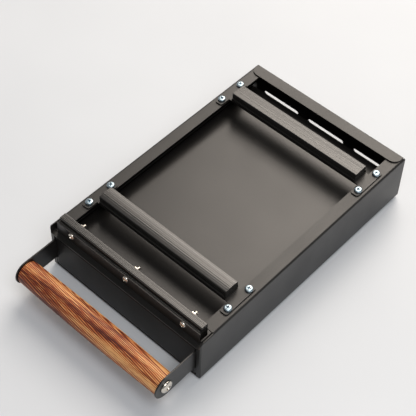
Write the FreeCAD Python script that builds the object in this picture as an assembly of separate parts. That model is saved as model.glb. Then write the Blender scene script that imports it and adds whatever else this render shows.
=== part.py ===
import FreeCAD, Part
import math
import os

from FreeCAD import Placement, Rotation, Vector

# Drawer-type espresso knock box: a low open-topped steel case with two rubber knock bars
# across it, a rubber buffer strip at the front, and a tray that pulls out by a wooden grip.
# Millimetres. X runs across the case, the drawer pulls out towards -Y, and Z is up.
# The origin is on the resting plane, under the middle of the whole outline, grip included,
# with the drawer closed.

# ---- driving dimensions -------------------------------------------------------------------
CASE_WIDTH = 200.0
CASE_DEPTH = 307.0
CASE_HEIGHT = 58.0          # underside of the case to the top of its side flanges
SHEET = 1.5                 # folded steel, everywhere
BEND = 2.5                  # outside radius of the main folds
FOOT_HEIGHT = 2.5
FLANGE_WIDTH = 14.3         # side flanges, wall outside to free edge
REAR_FLANGE_DEPTH = 14.3
RETURN_WIDTH = 5.5          # narrow returns either side of the drawer opening
NOTCH_DEPTH = 17.8          # the side flanges stop this far behind the front

SHELF_HEIGHT = 48.0         # top of the shelf over the drawer opening
UPRIGHT_TOP = 63.5
STRIP_HALF_LENGTH = 92.8
STRIP_TOP = 68.6
STRIP_SCREW_HEIGHT = 59.5
STRIP_SCREW_PITCH = 73.3

BAR_WIDTH = 16.8
BAR_HEIGHT = 10.8           # rubber above the web of its channel, at its edges
BAR_CROWN = 1.0             # rise of the middle bar's top from its edges to its centre line
CHANNEL_DEPTH = 4.1         # inside depth of the channel that holds each bar
MIDDLE_BAR_FROM_FRONT = 60.3
REAR_BAR_FROM_FRONT = 254.0
MIDDLE_BAR_HALF_LENGTH = 82.8
REAR_BAR_HALF_LENGTH = 82.0
TAB_LENGTH = 42.5           # bracket tabs, along the flange
TAB_END = 95.6              # outer end of a tab, from the centre plane
TAB_SCREW_X = 91.3
TAB_SCREW_PITCH = 29.4
BAR_SCREW_PITCH = 58.0

SLOT_LENGTH = 48.5
SLOT_WIDTH = 5.7
SLOT_HEIGHT = 25.5          # slot centre line above the case's underside
SLOT_PITCH = 62.3

TRAY_HALF_WIDTH = 93.9
TRAY_LENGTH = 299.0
TRAY_SIDE_TOP = 42.6
TRAY_REAR_TOP = 18.0
FLOOR_DEPTH = 17.0          # raised floor of the tray, below the top of the side flanges
FLOOR_LENGTH = 292.5        # front of the case to the floor's rear edge, which stops short of the slots
FLOOR_FLANGE = 12.0         # turned-down sides of the raised floor
ARM_HEIGHT = 27.5
GRIP_FORWARD = 39.1         # grip axis in front of the case
GRIP_END_RADIUS = 12.2
GRIP_MIDDLE_RADIUS = 13.5

# ---- places worked out from them ----------------------------------------------------------
BASE = FOOT_HEIGHT                      # height of the case's underside
OVERHANG = GRIP_FORWARD + ARM_HEIGHT / 2    # reach of the handle arms in front of the case
FRONT = -(CASE_DEPTH - OVERHANG) / 2
REAR = FRONT + CASE_DEPTH
HALF_WIDTH = CASE_WIDTH / 2
INNER_X = HALF_WIDTH - SHEET            # inner face of the side walls
FLANGE_TOP = BASE + CASE_HEIGHT
BRACKET_TOP = FLANGE_TOP + SHEET
FLANGE_EDGE_X = HALF_WIDTH - FLANGE_WIDTH
MIDDLE_BAR_Y = FRONT + MIDDLE_BAR_FROM_FRONT
REAR_BAR_Y = FRONT + REAR_BAR_FROM_FRONT
BRACKET_Y = (MIDDLE_BAR_Y, REAR_BAR_Y)
GLIDE_THICKNESS = 1.5
FIT_GAP = 0.05              # between pieces that are welded or slide on each other
TRAY_BOTTOM = BASE + SHEET + GLIDE_THICKNESS + FIT_GAP
TRAY_INNER_X = TRAY_HALF_WIDTH - SHEET
TRAY_FRONT = FRONT + 0.2                # outer face of the drawer front, just inside the case's
GRIP_Y = FRONT - GRIP_FORWARD
GRIP_Z = BASE + TRAY_SIDE_TOP - ARM_HEIGHT / 2
UPRIGHT_Y = FRONT + 5.2                 # front face of the upright that backs the strip
STRIP_BACK_Y = FRONT + 16.8
STRIP_CAP_FRONT_Y = FRONT + 8.5         # the strip's exposed head is set back above the upright

# ---- fasteners: radius of shank, radius of head, height of head ----------------------------
M4 = (2.0, 4.0, 2.4)
M4_SMALL = (2.0, 3.5, 2.0)
M6 = (3.0, 6.9, 3.0)
THREAD_GAP = 0.05           # radial gap between a screw and the hole that it threads into
PASS_GAP = 0.25             # radial gap between a screw and a plain hole

AXES = {"x": Vector(1, 0, 0), "y": Vector(0, 1, 0), "z": Vector(0, 0, 1)}


# ---- shape helpers ------------------------------------------------------------------------
def box(x_range, y_range, z_range):
    """A block between two corners, given as (low, high) pairs."""
    low = Vector(x_range[0], y_range[0], z_range[0])
    return Part.makeBox(x_range[1] - x_range[0], y_range[1] - y_range[0], z_range[1] - z_range[0], low)


def cylinder(axis, start, radius, length):
    """A round bar from the start point along an axis."""
    return Part.makeCylinder(radius, length, Vector(*start), AXES[axis])


def in_plane(axis, u, v, along=0.0):
    """The point with section coordinates u, v on the plane square to an axis."""
    if axis == "x":
        return Vector(along, u, v)
    if axis == "y":
        return Vector(u, along, v)
    return Vector(u, v, along)


def rounded_face(points, radii):
    """A flat face whose corners are rounded by tangent arcs; radius 0 keeps a corner sharp."""
    edges = []
    starts = []
    ends = []
    count = len(points)
    for i in range(count):
        corner = points[i]
        to_last = (points[i - 1] - corner).normalize()
        to_next = (points[(i + 1) % count] - corner).normalize()
        half_angle = to_last.getAngle(to_next) / 2
        cut = radii[i] / math.tan(half_angle)
        first = corner + to_last * cut
        second = corner + to_next * cut
        starts.append(first)
        ends.append(second)
        if radii[i] > 0:
            bisector = (to_last + to_next).normalize()
            middle = corner + bisector * (radii[i] / math.sin(half_angle) - radii[i])
            edges.append(Part.Arc(first, middle, second).toShape())
    for i in range(count):
        start = ends[i]
        end = starts[(i + 1) % count]
        if start.distanceToPoint(end) > 1e-6:
            edges.append(Part.LineSegment(start, end).toShape())
    return Part.Face(Part.Wire(Part.__sortEdges__(edges)))


def prism(axis, section, radii, low, high):
    """Extrude a rounded section along an axis between two places on it."""
    points = [in_plane(axis, u, v, low) for u, v in section]
    return rounded_face(points, radii).extrude(AXES[axis] * (high - low))


def rectangle(u_range, v_range):
    """Corners of a rectangle, anticlockwise from the low corner."""
    u0, u1 = u_range
    v0, v1 = v_range
    return [(u0, v0), (u1, v0), (u1, v1), (u0, v1)]


def offset_path(path, distance):
    """The open path moved to its left by a distance, with its corners kept sharp."""
    moved = []
    for i, (u, v) in enumerate(path):
        before = path[max(i - 1, 0)]
        after = path[min(i + 1, len(path) - 1)]
        normals = []
        for a, b in ((before, (u, v)), ((u, v), after)):
            length = math.hypot(b[0] - a[0], b[1] - a[1])
            if length > 0:
                normals.append((-(b[1] - a[1]) / length, (b[0] - a[0]) / length))
        nu = sum(n[0] for n in normals)
        nv = sum(n[1] for n in normals)
        scale = distance * len(normals) / (nu * nu + nv * nv)
        moved.append((u + nu * scale, v + nv * scale))
    return moved


def turns_left(path, i):
    """True where the path bends to the left at its point i."""
    au = path[i][0] - path[i - 1][0]
    av = path[i][1] - path[i - 1][1]
    bu = path[i + 1][0] - path[i][0]
    bv = path[i + 1][1] - path[i][1]
    return au * bv - av * bu > 0


def folded_sheet(axis, path, low, high, bend=BEND):
    """Sheet metal with the path as one face and its thickness to the left of it."""
    outer = []
    inner = []
    for i in range(len(path)):
        if i in (0, len(path) - 1):
            outer.append(0.0)
            inner.append(0.0)
        elif turns_left(path, i):
            outer.append(bend)
            inner.append(bend - SHEET)
        else:
            outer.append(bend - SHEET)
            inner.append(bend)
    section = path + offset_path(path, SHEET)[::-1]
    return prism(axis, section, outer + inner[::-1], low, high)


def turned(profile, position, direction):
    """Turn (radius, height) points about an axis; a third value makes an arc's middle point."""
    edges = []
    last = None
    middle = None
    for radius, height, kind in profile:
        point = Vector(radius, 0, height)
        if kind == "through":
            middle = point
            continue
        if last is not None and middle is not None:
            edges.append(Part.Arc(last, middle, point).toShape())
        elif last is not None:
            edges.append(Part.LineSegment(last, point).toShape())
        last = point
        middle = None
    first = Vector(profile[0][0], 0, profile[0][1])
    edges.append(Part.LineSegment(last, first).toShape())
    solid = Part.Face(Part.Wire(edges)).revolve(Vector(0, 0, 0), Vector(0, 0, 1), 360)
    return placed(solid, position, direction)


def placed(shape, position, direction):
    """Stand a shape made about +Z at a position, turned to point along a direction."""
    moved = shape.copy()
    moved.Placement = Placement(Vector(*position), Rotation(Vector(0, 0, 1), Vector(*direction)))
    return moved


def cross_recess(head_radius, head_height):
    """The tool for a cross recess in a screw head that stands on z = 0."""
    wing = head_radius * 0.52
    half_slot = head_radius * 0.12
    floor = head_height * 0.45
    top = head_height + 1.0
    one_way = box((-wing, wing), (-half_slot, half_slot), (floor, top))
    return one_way.fuse(box((-half_slot, half_slot), (-wing, wing), (floor, top)))


def machine_screw(size, length, position, direction):
    """A domed cross-head screw; position is under its head, direction points out of the head."""
    shank, head, height = size
    rim = height * 0.35
    profile = [
        (0, -length, "line"),
        (shank - 0.4, -length, "line"),
        (shank, -length + 0.4, "line"),
        (shank, 0, "line"),
        (head, 0, "line"),
        (head, rim, "line"),
        (head * 0.72, height * 0.86, "through"),
        (0, height, "line"),
    ]
    screw = turned(profile, (0, 0, 0), (0, 0, 1)).cut(cross_recess(head, height))
    return placed(screw, position, direction)


def hex_nut(across_flats, hole_radius, thickness, position, direction):
    """A plain hexagon nut that starts at the position."""
    corner = across_flats / math.sqrt(3)
    points = []
    for i in range(6):
        angle = math.radians(60 * i)
        points.append(Vector(corner * math.cos(angle), corner * math.sin(angle), 0))
    nut = rounded_face(points, [0.0] * 6).extrude(Vector(0, 0, thickness))
    face_radius = corner * 0.88         # the free face is chamfered down to this radius
    chamfer = Part.makeCone(face_radius + thickness, face_radius, thickness)
    nut = nut.common(chamfer)
    nut = nut.cut(Part.makeCylinder(hole_radius, thickness, Vector(0, 0, 0)))
    return placed(nut, position, direction)


def group(shapes):
    """Identical pieces kept as separate solids in one node."""
    return Part.makeCompound(shapes)


# ---- places that repeat -------------------------------------------------------------------
def tab_screw_places(bar_y):
    """The four screws that hold one bar bracket to the side flanges."""
    return [(side * TAB_SCREW_X, bar_y + end * TAB_SCREW_PITCH / 2) for side in (-1, 1) for end in (-1, 1)]


def strip_screw_xs():
    """The three screws along the buffer strip."""
    return [-STRIP_SCREW_PITCH, 0.0, STRIP_SCREW_PITCH]


def bar_screw_xs():
    """The three screws from below into each bar's core."""
    return [-BAR_SCREW_PITCH, 0.0, BAR_SCREW_PITCH]


# ---- case ---------------------------------------------------------------------------------
CLINCH_SHANK_RADIUS = 2.7
OPENING_HALF_WIDTH = HALF_WIDTH - RETURN_WIDTH
SHELF_UNDERSIDE = BASE + SHELF_HEIGHT - SHEET


def case_shell():
    """Bottom, side walls, side flanges and front returns, folded from one sheet."""
    front_bend = 2.0
    outer = prism("y", rectangle((-HALF_WIDTH, HALF_WIDTH), (BASE, FLANGE_TOP)), [BEND] * 4, FRONT, REAR)
    outer_plan = rectangle((-HALF_WIDTH, HALF_WIDTH), (FRONT, REAR))
    plan_radii = [front_bend, front_bend, 0.0, 0.0]
    outer = outer.common(prism("z", outer_plan, plan_radii, BASE, FLANGE_TOP))
    inside_z = (BASE + SHEET, FLANGE_TOP - SHEET)
    inner = prism("y", rectangle((-INNER_X, INNER_X), inside_z), [BEND - SHEET] * 4, FRONT + SHEET, REAR)
    inner_plan = rectangle((-INNER_X, INNER_X), (FRONT + SHEET, REAR))
    plan_radii = [front_bend - SHEET, front_bend - SHEET, 0.0, 0.0]
    inner = inner.common(prism("z", inner_plan, plan_radii, *inside_z))
    shell = outer.cut(inner)

    above = FLANGE_TOP + 1.0
    notch_floor = FLANGE_TOP - 0.8
    corner_radius = 5.0
    top_mouth = box((-FLANGE_EDGE_X, FLANGE_EDGE_X), (FRONT + NOTCH_DEPTH, REAR + 1), (FLANGE_TOP - 5, above))
    notch = box((-INNER_X, INNER_X), (FRONT - 1, FRONT + NOTCH_DEPTH), (SHELF_UNDERSIDE, above))
    wall_tops = box((-HALF_WIDTH - 1, HALF_WIDTH + 1), (FRONT - 1, FRONT + NOTCH_DEPTH), (notch_floor, above))
    opening_x = (-OPENING_HALF_WIDTH, OPENING_HALF_WIDTH)
    opening = box(opening_x, (FRONT - 1, FRONT + 3), (BASE + SHEET, SHELF_UNDERSIDE))
    behind_flanges = box((-INNER_X, INNER_X), (REAR - SHEET - 0.1, REAR + 1), (FLANGE_TOP - 4, above))
    shell = shell.cut([top_mouth, notch, wall_tops, opening, behind_flanges])

    past_walls = HALF_WIDTH + 1
    corner_low = notch_floor - corner_radius
    corner = box((-past_walls, past_walls), (FRONT - 1, FRONT + corner_radius), (corner_low, above))
    round_start = (-past_walls, FRONT + corner_radius, corner_low)
    shell = shell.cut(corner.cut(cylinder("x", round_start, corner_radius, 2 * past_walls)))

    holes = []
    for bar_y in BRACKET_Y:
        for x, y in tab_screw_places(bar_y):
            holes.append(cylinder("z", (x, y, FLANGE_TOP - 3), CLINCH_SHANK_RADIUS, 5))
    return shell.cut(holes)


def rear_panel():
    """Slotted rear wall between the side walls, with a flange laid over the side flanges."""
    side_x = INNER_X - FIT_GAP
    tab_depth = 12.0
    wall_bend = 2.0
    corner_clearance = 1.2              # keeps the tabs out of the case's bottom bends
    plan = [(-side_x, REAR - tab_depth), (-side_x, REAR), (side_x, REAR), (side_x, REAR - tab_depth)]
    wall_low = BASE + SHEET + FIT_GAP
    wall = folded_sheet("z", plan[::-1], wall_low, FLANGE_TOP, wall_bend)
    tab_top = FLANGE_TOP - BEND - 0.2
    tab_y = (REAR - tab_depth - 1, REAR - SHEET)
    above_tabs = box((-HALF_WIDTH, HALF_WIDTH), tab_y, (tab_top, FLANGE_TOP + 1))
    corner_room = []
    for side in (-1, 1):
        x_range = sorted((side * (INNER_X - corner_clearance), side * (INNER_X + 1)))
        z_range = (wall_low - 1, wall_low + corner_clearance)
        corner_room.append(box(x_range, (REAR - tab_depth - 1, REAR + 1), z_range))
    wall = wall.cut([above_tabs] + corner_room)

    flange_half = HALF_WIDTH - 2.0
    flange_low = FLANGE_TOP
    end_radius = 9.0
    flange_plan = rectangle((-flange_half, flange_half), (REAR - REAR_FLANGE_DEPTH, REAR))
    flange = prism("z", flange_plan, [end_radius, end_radius, 2.0, 2.0], flange_low, flange_low + SHEET)
    bend_low = flange_low + SHEET - BEND
    rear_bend = cylinder("x", (-HALF_WIDTH, REAR - BEND, bend_low), BEND, CASE_WIDTH)
    bend_corner = box((-HALF_WIDTH, HALF_WIDTH), (REAR - BEND, REAR + 1), (bend_low, bend_low + BEND + 1))
    panel = wall.fuse(flange).cut(bend_corner.cut(rear_bend)).removeSplitter()

    slots = []
    radius = SLOT_WIDTH / 2
    for x in (-SLOT_PITCH, 0.0, SLOT_PITCH):
        u_range = (x - SLOT_LENGTH / 2, x + SLOT_LENGTH / 2)
        v_range = (BASE + SLOT_HEIGHT - radius, BASE + SLOT_HEIGHT + radius)
        radii = [radius - 0.01] * 4
        slots.append(prism("y", rectangle(u_range, v_range), radii, REAR - 5, REAR + 5))
    return panel.cut(slots)


def front_crossmember():
    """Shelf over the drawer opening, folded up into the plate that the strip bolts to."""
    shelf_back = UPRIGHT_Y + SHEET
    path = [
        (FRONT + FIT_GAP, SHELF_UNDERSIDE),
        (shelf_back, SHELF_UNDERSIDE),
        (shelf_back, BASE + UPRIGHT_TOP),
    ]
    upright_half = 94.0
    shelf_half = INNER_X - FIT_GAP
    piece = folded_sheet("x", path, -shelf_half, shelf_half, 2.0)
    end_z = (BASE + SHELF_HEIGHT + 1.0, BASE + UPRIGHT_TOP + 1.0)
    for side in (-1, 1):
        x_range = sorted((side * upright_half, side * HALF_WIDTH))
        piece = piece.cut(box(x_range, (UPRIGHT_Y - 1, shelf_back + 1), end_z))
    holes = []
    for x in strip_screw_xs():
        holes.append(cylinder("y", (x, UPRIGHT_Y - 1, BASE + STRIP_SCREW_HEIGHT), M4_SMALL[0] + PASS_GAP, 5))
    return piece.cut(holes)


def front_strip():
    """Rubber buffer strip: a block behind the upright with a set-back head and a front groove."""
    body_front = UPRIGHT_Y + SHEET
    low = BASE + SHELF_HEIGHT + 1.5
    top = BASE + STRIP_TOP
    groove_low = BASE + UPRIGHT_TOP + 0.8
    groove_floor = groove_low + 1.0
    groove_top = groove_low + 2.2
    groove_back_y = STRIP_CAP_FRONT_Y + 1.2
    chamfer = 0.4
    section = [
        (body_front, low),
        (STRIP_BACK_Y, low),
        (STRIP_BACK_Y, top),
        (STRIP_CAP_FRONT_Y, top),
        (STRIP_CAP_FRONT_Y, groove_top),
        (groove_back_y, groove_top),
        (groove_back_y, groove_floor),
        (body_front + chamfer, groove_floor),
        (body_front + chamfer, groove_low),
        (body_front, groove_low - chamfer),
    ]
    radii = [0.5, 0.8, 1.0, 0.6, 0.2, 0.0, 0.0, 0.2, 0.0, 0.0]
    strip = prism("x", section, radii, -STRIP_HALF_LENGTH, STRIP_HALF_LENGTH)
    holes = []
    for x in strip_screw_xs():
        holes.append(cylinder("y", (x, FRONT, BASE + STRIP_SCREW_HEIGHT), M4_SMALL[0] + PASS_GAP, 30))
    return strip.cut(holes)


def front_strip_screws():
    length = 18.0
    z = BASE + STRIP_SCREW_HEIGHT
    return group([machine_screw(M4_SMALL, length, (x, UPRIGHT_Y, z), (0, -1, 0)) for x in strip_screw_xs()])


def front_strip_nuts():
    z = BASE + STRIP_SCREW_HEIGHT
    hole = M4_SMALL[0] + THREAD_GAP
    return group([hex_nut(7.0, hole, 3.2, (x, STRIP_BACK_Y, z), (0, 1, 0)) for x in strip_screw_xs()])


def rubber_feet():
    """Four round pads under the case, with a softened lower edge."""
    radius = 8.0
    profile = [
        (0, 0, "line"),
        (radius - 0.8, 0, "line"),
        (radius - 0.24, 0.24, "through"),
        (radius, 0.8, "line"),
        (radius, FOOT_HEIGHT, "line"),
        (0, FOOT_HEIGHT, "line"),
    ]
    inset = 20.0
    foot_x = HALF_WIDTH - inset
    places = [(x, y, 0) for x in (-foot_x, foot_x) for y in (FRONT + inset, REAR - inset)]
    return group([turned(profile, place, (0, 0, 1)) for place in places])


def glide_strip(side):
    """Low-friction strip that one edge of the tray slides on."""
    x_range = sorted((side * 74.0, side * 88.0))
    low = BASE + SHEET
    plan = rectangle(x_range, (FRONT + 6.0, REAR - 12.0))
    return prism("z", plan, [2.0] * 4, low, low + GLIDE_THICKNESS)


def rear_bumpers():
    """Two rubber buttons on the rear wall that the closed tray stops against."""
    radius = 4.0
    height = REAR - SHEET - (FRONT + TRAY_LENGTH + 0.3)
    profile = [
        (0, 0, "line"),
        (radius, 0, "line"),
        (radius, height - 1.0, "line"),
        (radius - 0.3, height - 0.3, "through"),
        (radius - 1.0, height, "line"),
        (0, height, "line"),
    ]
    z = BASE + 11.0
    return group([turned(profile, (x, REAR - SHEET, z), (0, -1, 0)) for x in (-60.0, 60.0)])


# ---- knock bars ---------------------------------------------------------------------------
CORE_HALF_WIDTH = 4.0
CORE_HEIGHT = 5.5
CORE_END_COVER = 4.0        # rubber beyond each end of the core


def bar_bracket(bar_y):
    """Upturned channel that holds a bar, with a wide rounded tab screwed down at each end."""
    web_half = BAR_WIDTH / 2 + 0.1 + SHEET
    lip_top = BRACKET_TOP + CHANNEL_DEPTH
    channel_half = REAR_BAR_HALF_LENGTH
    path = [
        (bar_y - web_half, lip_top),
        (bar_y - web_half, FLANGE_TOP),
        (bar_y + web_half, FLANGE_TOP),
        (bar_y + web_half, lip_top),
    ]
    bracket = folded_sheet("x", path, -channel_half, channel_half, 1.7)
    neck_half = web_half - 1.0
    neck_start = channel_half - 0.5
    tab_start = FLANGE_EDGE_X + 0.4
    tab_half = TAB_LENGTH / 2
    for side in (-1, 1):
        outline = [
            (side * neck_start, bar_y - neck_half),
            (side * tab_start, bar_y - neck_half),
            (side * tab_start, bar_y - tab_half),
            (side * TAB_END, bar_y - tab_half),
            (side * TAB_END, bar_y + tab_half),
            (side * tab_start, bar_y + tab_half),
            (side * tab_start, bar_y + neck_half),
            (side * neck_start, bar_y + neck_half),
        ]
        radii = [0.0, 0.6, 3.0, 3.0, 3.0, 3.0, 0.6, 0.0]
        bracket = bracket.fuse(prism("z", outline, radii, FLANGE_TOP, BRACKET_TOP))
    holes = []
    for x, y in tab_screw_places(bar_y):
        holes.append(cylinder("z", (x, y, FLANGE_TOP - 1), M4[0] + PASS_GAP, 4))
    for x in bar_screw_xs():
        holes.append(cylinder("z", (x, bar_y, FLANGE_TOP - 1), M4[0] + PASS_GAP, 4))
    return bracket.cut(holes).removeSplitter()


def bar_core(bar_y, half_length):
    """Steel flat inside the rubber, tapped for the screws from below."""
    x_end = half_length - CORE_END_COVER
    y_range = (bar_y - CORE_HALF_WIDTH, bar_y + CORE_HALF_WIDTH)
    core = box((-x_end, x_end), y_range, (BRACKET_TOP, BRACKET_TOP + CORE_HEIGHT))
    holes = []
    for x in bar_screw_xs():
        holes.append(cylinder("z", (x, bar_y, BRACKET_TOP - 1), M4[0] + THREAD_GAP, CORE_HEIGHT + 2))
    return core.cut(holes)


def without_core(rubber, bar_y, half_length):
    """A rubber length with the core's space cut out of its underside."""
    x_end = half_length - CORE_END_COVER
    y_range = (bar_y - CORE_HALF_WIDTH, bar_y + CORE_HALF_WIDTH)
    return rubber.cut(box((-x_end, x_end), y_range, (BRACKET_TOP - 1, BRACKET_TOP + CORE_HEIGHT)))


def middle_bar_rubber():
    """Knock bar with a slightly crowned top."""
    low = BRACKET_TOP
    shoulder = low + BAR_HEIGHT
    half = BAR_WIDTH / 2
    crown = Vector(0, MIDDLE_BAR_Y, shoulder + BAR_CROWN)
    left = Vector(0, MIDDLE_BAR_Y - half, shoulder)
    right = Vector(0, MIDDLE_BAR_Y + half, shoulder)
    foot_left = Vector(0, MIDDLE_BAR_Y - half, low)
    foot_right = Vector(0, MIDDLE_BAR_Y + half, low)
    edges = [
        Part.LineSegment(foot_left, foot_right).toShape(),
        Part.LineSegment(foot_right, right).toShape(),
        Part.Arc(right, crown, left).toShape(),
        Part.LineSegment(left, foot_left).toShape(),
    ]
    length = 2 * MIDDLE_BAR_HALF_LENGTH
    rubber = Part.Face(Part.Wire(edges)).extrude(Vector(length, 0, 0))
    rubber.translate(Vector(-MIDDLE_BAR_HALF_LENGTH, 0, 0))
    return without_core(rubber, MIDDLE_BAR_Y, MIDDLE_BAR_HALF_LENGTH)


def rear_bar_rubber():
    """Rest bar with a flat top and slightly softened edges."""
    low = BRACKET_TOP
    half = BAR_WIDTH / 2
    section = rectangle((REAR_BAR_Y - half, REAR_BAR_Y + half), (low, low + BAR_HEIGHT))
    radii = [0.0, 0.0, 0.8, 0.8]
    rubber = prism("x", section, radii, -REAR_BAR_HALF_LENGTH, REAR_BAR_HALF_LENGTH)
    return without_core(rubber, REAR_BAR_Y, REAR_BAR_HALF_LENGTH)


def bar_screws(bar_y):
    """Screws up through the bracket into the core."""
    length = SHEET + CORE_HEIGHT - 0.5
    low = FLANGE_TOP
    return group([machine_screw(M4, length, (x, bar_y, low), (0, 0, -1)) for x in bar_screw_xs()])


def bracket_screws(bar_y):
    """Screws down through the bracket tabs into the clinch nuts."""
    length = 6.5
    places = [(x, y, BRACKET_TOP) for x, y in tab_screw_places(bar_y)]
    return group([machine_screw(M4, length, place, (0, 0, 1)) for place in places])


def flange_clinch_nuts():
    """Press-in nuts under the side flanges."""
    head_radius = 4.0
    head_height = 2.2
    hole = M4[0] + THREAD_GAP
    head_low = FLANGE_TOP - SHEET - head_height
    profile = [
        (hole, head_low, "line"),
        (head_radius, head_low, "line"),
        (head_radius, FLANGE_TOP - SHEET, "line"),
        (CLINCH_SHANK_RADIUS, FLANGE_TOP - SHEET, "line"),
        (CLINCH_SHANK_RADIUS, FLANGE_TOP - 0.1, "line"),
        (hole, FLANGE_TOP - 0.1, "line"),
    ]
    nuts = []
    for bar_y in BRACKET_Y:
        for x, y in tab_screw_places(bar_y):
            nuts.append(turned(profile, (x, y, 0), (0, 0, 1)))
    return group(nuts)


# ---- drawer -------------------------------------------------------------------------------
ARM_HOLE_RADIUS = M6[0] + PASS_GAP
INSERT_RADIUS = 4.5
INSERT_LENGTH = 16.0


def side_blank(side):
    """One tray side with the arm that reaches forward to the grip, as a flat plate."""
    top = BASE + TRAY_SIDE_TOP
    arm_low = top - ARM_HEIGHT
    end_radius = ARM_HEIGHT / 2
    root_radius = 3.0
    outline = [
        (FRONT + TRAY_LENGTH, TRAY_BOTTOM + BEND),
        (FRONT + TRAY_LENGTH, top),
        (GRIP_Y - end_radius, top),
        (GRIP_Y - end_radius, arm_low),
        (TRAY_FRONT, arm_low),
        (TRAY_FRONT, TRAY_BOTTOM + BEND),
    ]
    radii = [0.0, 3.0, end_radius - 0.01, end_radius - 0.01, root_radius, 0.0]
    inner = side * TRAY_INNER_X
    outer = side * TRAY_HALF_WIDTH
    return prism("x", outline, radii, min(inner, outer), max(inner, outer))


def drawer_tray():
    """Folded tray: floor, two sides that run on into the handle arms, and a low rear wall."""
    fold_end = TRAY_BOTTOM + BEND + 0.2     # a little way up the sides, past the bend
    path = [
        (-TRAY_HALF_WIDTH, fold_end),
        (-TRAY_HALF_WIDTH, TRAY_BOTTOM),
        (TRAY_HALF_WIDTH, TRAY_BOTTOM),
        (TRAY_HALF_WIDTH, fold_end),
    ]
    tray_back = FRONT + TRAY_LENGTH
    tray = folded_sheet("y", path, TRAY_FRONT, tray_back)
    rear_z = (TRAY_BOTTOM + SHEET, BASE + TRAY_REAR_TOP)
    rear_wall = box((-TRAY_INNER_X, TRAY_INNER_X), (tray_back - SHEET, tray_back), rear_z)
    tray = tray.fuse([side_blank(-1), side_blank(1), rear_wall]).removeSplitter()
    holes = cylinder("x", (-HALF_WIDTH, GRIP_Y, GRIP_Z), ARM_HOLE_RADIUS, CASE_WIDTH)
    return tray.cut(holes)


def raised_floor():
    """Shallow floor of the tray: a sheet with its sides turned down and welded to the tray's."""
    half = TRAY_INNER_X - FIT_GAP
    top = FLANGE_TOP - FLOOR_DEPTH
    low = top - FLOOR_FLANGE
    path = [(half, low), (half, top), (-half, top), (-half, low)]
    return folded_sheet("y", path, TRAY_FRONT + SHEET + FIT_GAP, FRONT + FLOOR_LENGTH)


def drawer_front():
    """Front panel that stands between the tray sides, with a stiffening fold along its top."""
    half = TRAY_INNER_X - FIT_GAP
    top = SHELF_UNDERSIDE - 0.7         # clears the shelf as the drawer moves
    fold_depth = 9.0
    path = [(TRAY_FRONT, TRAY_BOTTOM + SHEET), (TRAY_FRONT, top), (TRAY_FRONT + fold_depth, top)]
    return folded_sheet("x", path[::-1], -half, half, 2.0)


def handle_grip():
    """Barrel-shaped hardwood grip, bored at both ends for its inserts."""
    half = TRAY_INNER_X
    edge = 1.2
    profile = [
        (0, -half, "line"),
        (GRIP_END_RADIUS - edge, -half, "line"),
        (GRIP_END_RADIUS - 0.35, -half + 0.35, "through"),
        (GRIP_END_RADIUS, -half + edge, "line"),
        (GRIP_MIDDLE_RADIUS, 0, "through"),
        (GRIP_END_RADIUS, half - edge, "line"),
        (GRIP_END_RADIUS - 0.35, half - 0.35, "through"),
        (GRIP_END_RADIUS - edge, half, "line"),
        (0, half, "line"),
    ]
    grip = turned(profile, (0, GRIP_Y, GRIP_Z), (1, 0, 0))
    bore_length = INSERT_LENGTH + 2.0
    left = cylinder("x", (-half, GRIP_Y, GRIP_Z), INSERT_RADIUS, bore_length)
    right = cylinder("x", (half - bore_length, GRIP_Y, GRIP_Z), INSERT_RADIUS, bore_length)
    return grip.cut([left, right])


def grip_inserts():
    """Threaded brass inserts in the grip's ends."""
    inserts = []
    for start in (-TRAY_INNER_X, TRAY_INNER_X - INSERT_LENGTH):
        sleeve = cylinder("x", (start, GRIP_Y, GRIP_Z), INSERT_RADIUS, INSERT_LENGTH)
        thread = cylinder("x", (start, GRIP_Y, GRIP_Z), M6[0] + THREAD_GAP, INSERT_LENGTH)
        inserts.append(sleeve.cut(thread))
    return group(inserts)


def handle_screws():
    """Wide domed screws through the arms into the grip."""
    length = 15.0
    screws = []
    for side in (-1, 1):
        position = (side * TRAY_HALF_WIDTH, GRIP_Y, GRIP_Z)
        screws.append(machine_screw(M6, length, position, (side, 0, 0)))
    return group(screws)


# ---- every node ---------------------------------------------------------------------------
NODES = {
    "case_shell": case_shell(),
    "rear_panel": rear_panel(),
    "front_crossmember": front_crossmember(),
    "front_strip": front_strip(),
    "front_strip_screws": front_strip_screws(),
    "front_strip_nuts": front_strip_nuts(),
    "middle_bar_bracket": bar_bracket(MIDDLE_BAR_Y),
    "middle_bar_core": bar_core(MIDDLE_BAR_Y, MIDDLE_BAR_HALF_LENGTH),
    "middle_bar_rubber": middle_bar_rubber(),
    "middle_bar_screws": bar_screws(MIDDLE_BAR_Y),
    "middle_bracket_screws": bracket_screws(MIDDLE_BAR_Y),
    "rear_bar_bracket": bar_bracket(REAR_BAR_Y),
    "rear_bar_core": bar_core(REAR_BAR_Y, REAR_BAR_HALF_LENGTH),
    "rear_bar_rubber": rear_bar_rubber(),
    "rear_bar_screws": bar_screws(REAR_BAR_Y),
    "rear_bracket_screws": bracket_screws(REAR_BAR_Y),
    "flange_clinch_nuts": flange_clinch_nuts(),
    "left_glide_strip": glide_strip(-1),
    "right_glide_strip": glide_strip(1),
    "rear_bumpers": rear_bumpers(),
    "rubber_feet": rubber_feet(),
    "drawer_tray": drawer_tray(),
    "raised_floor": raised_floor(),
    "drawer_front": drawer_front(),
    "handle_grip": handle_grip(),
    "grip_inserts": grip_inserts(),
    "handle_screws": handle_screws(),
}

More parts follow.
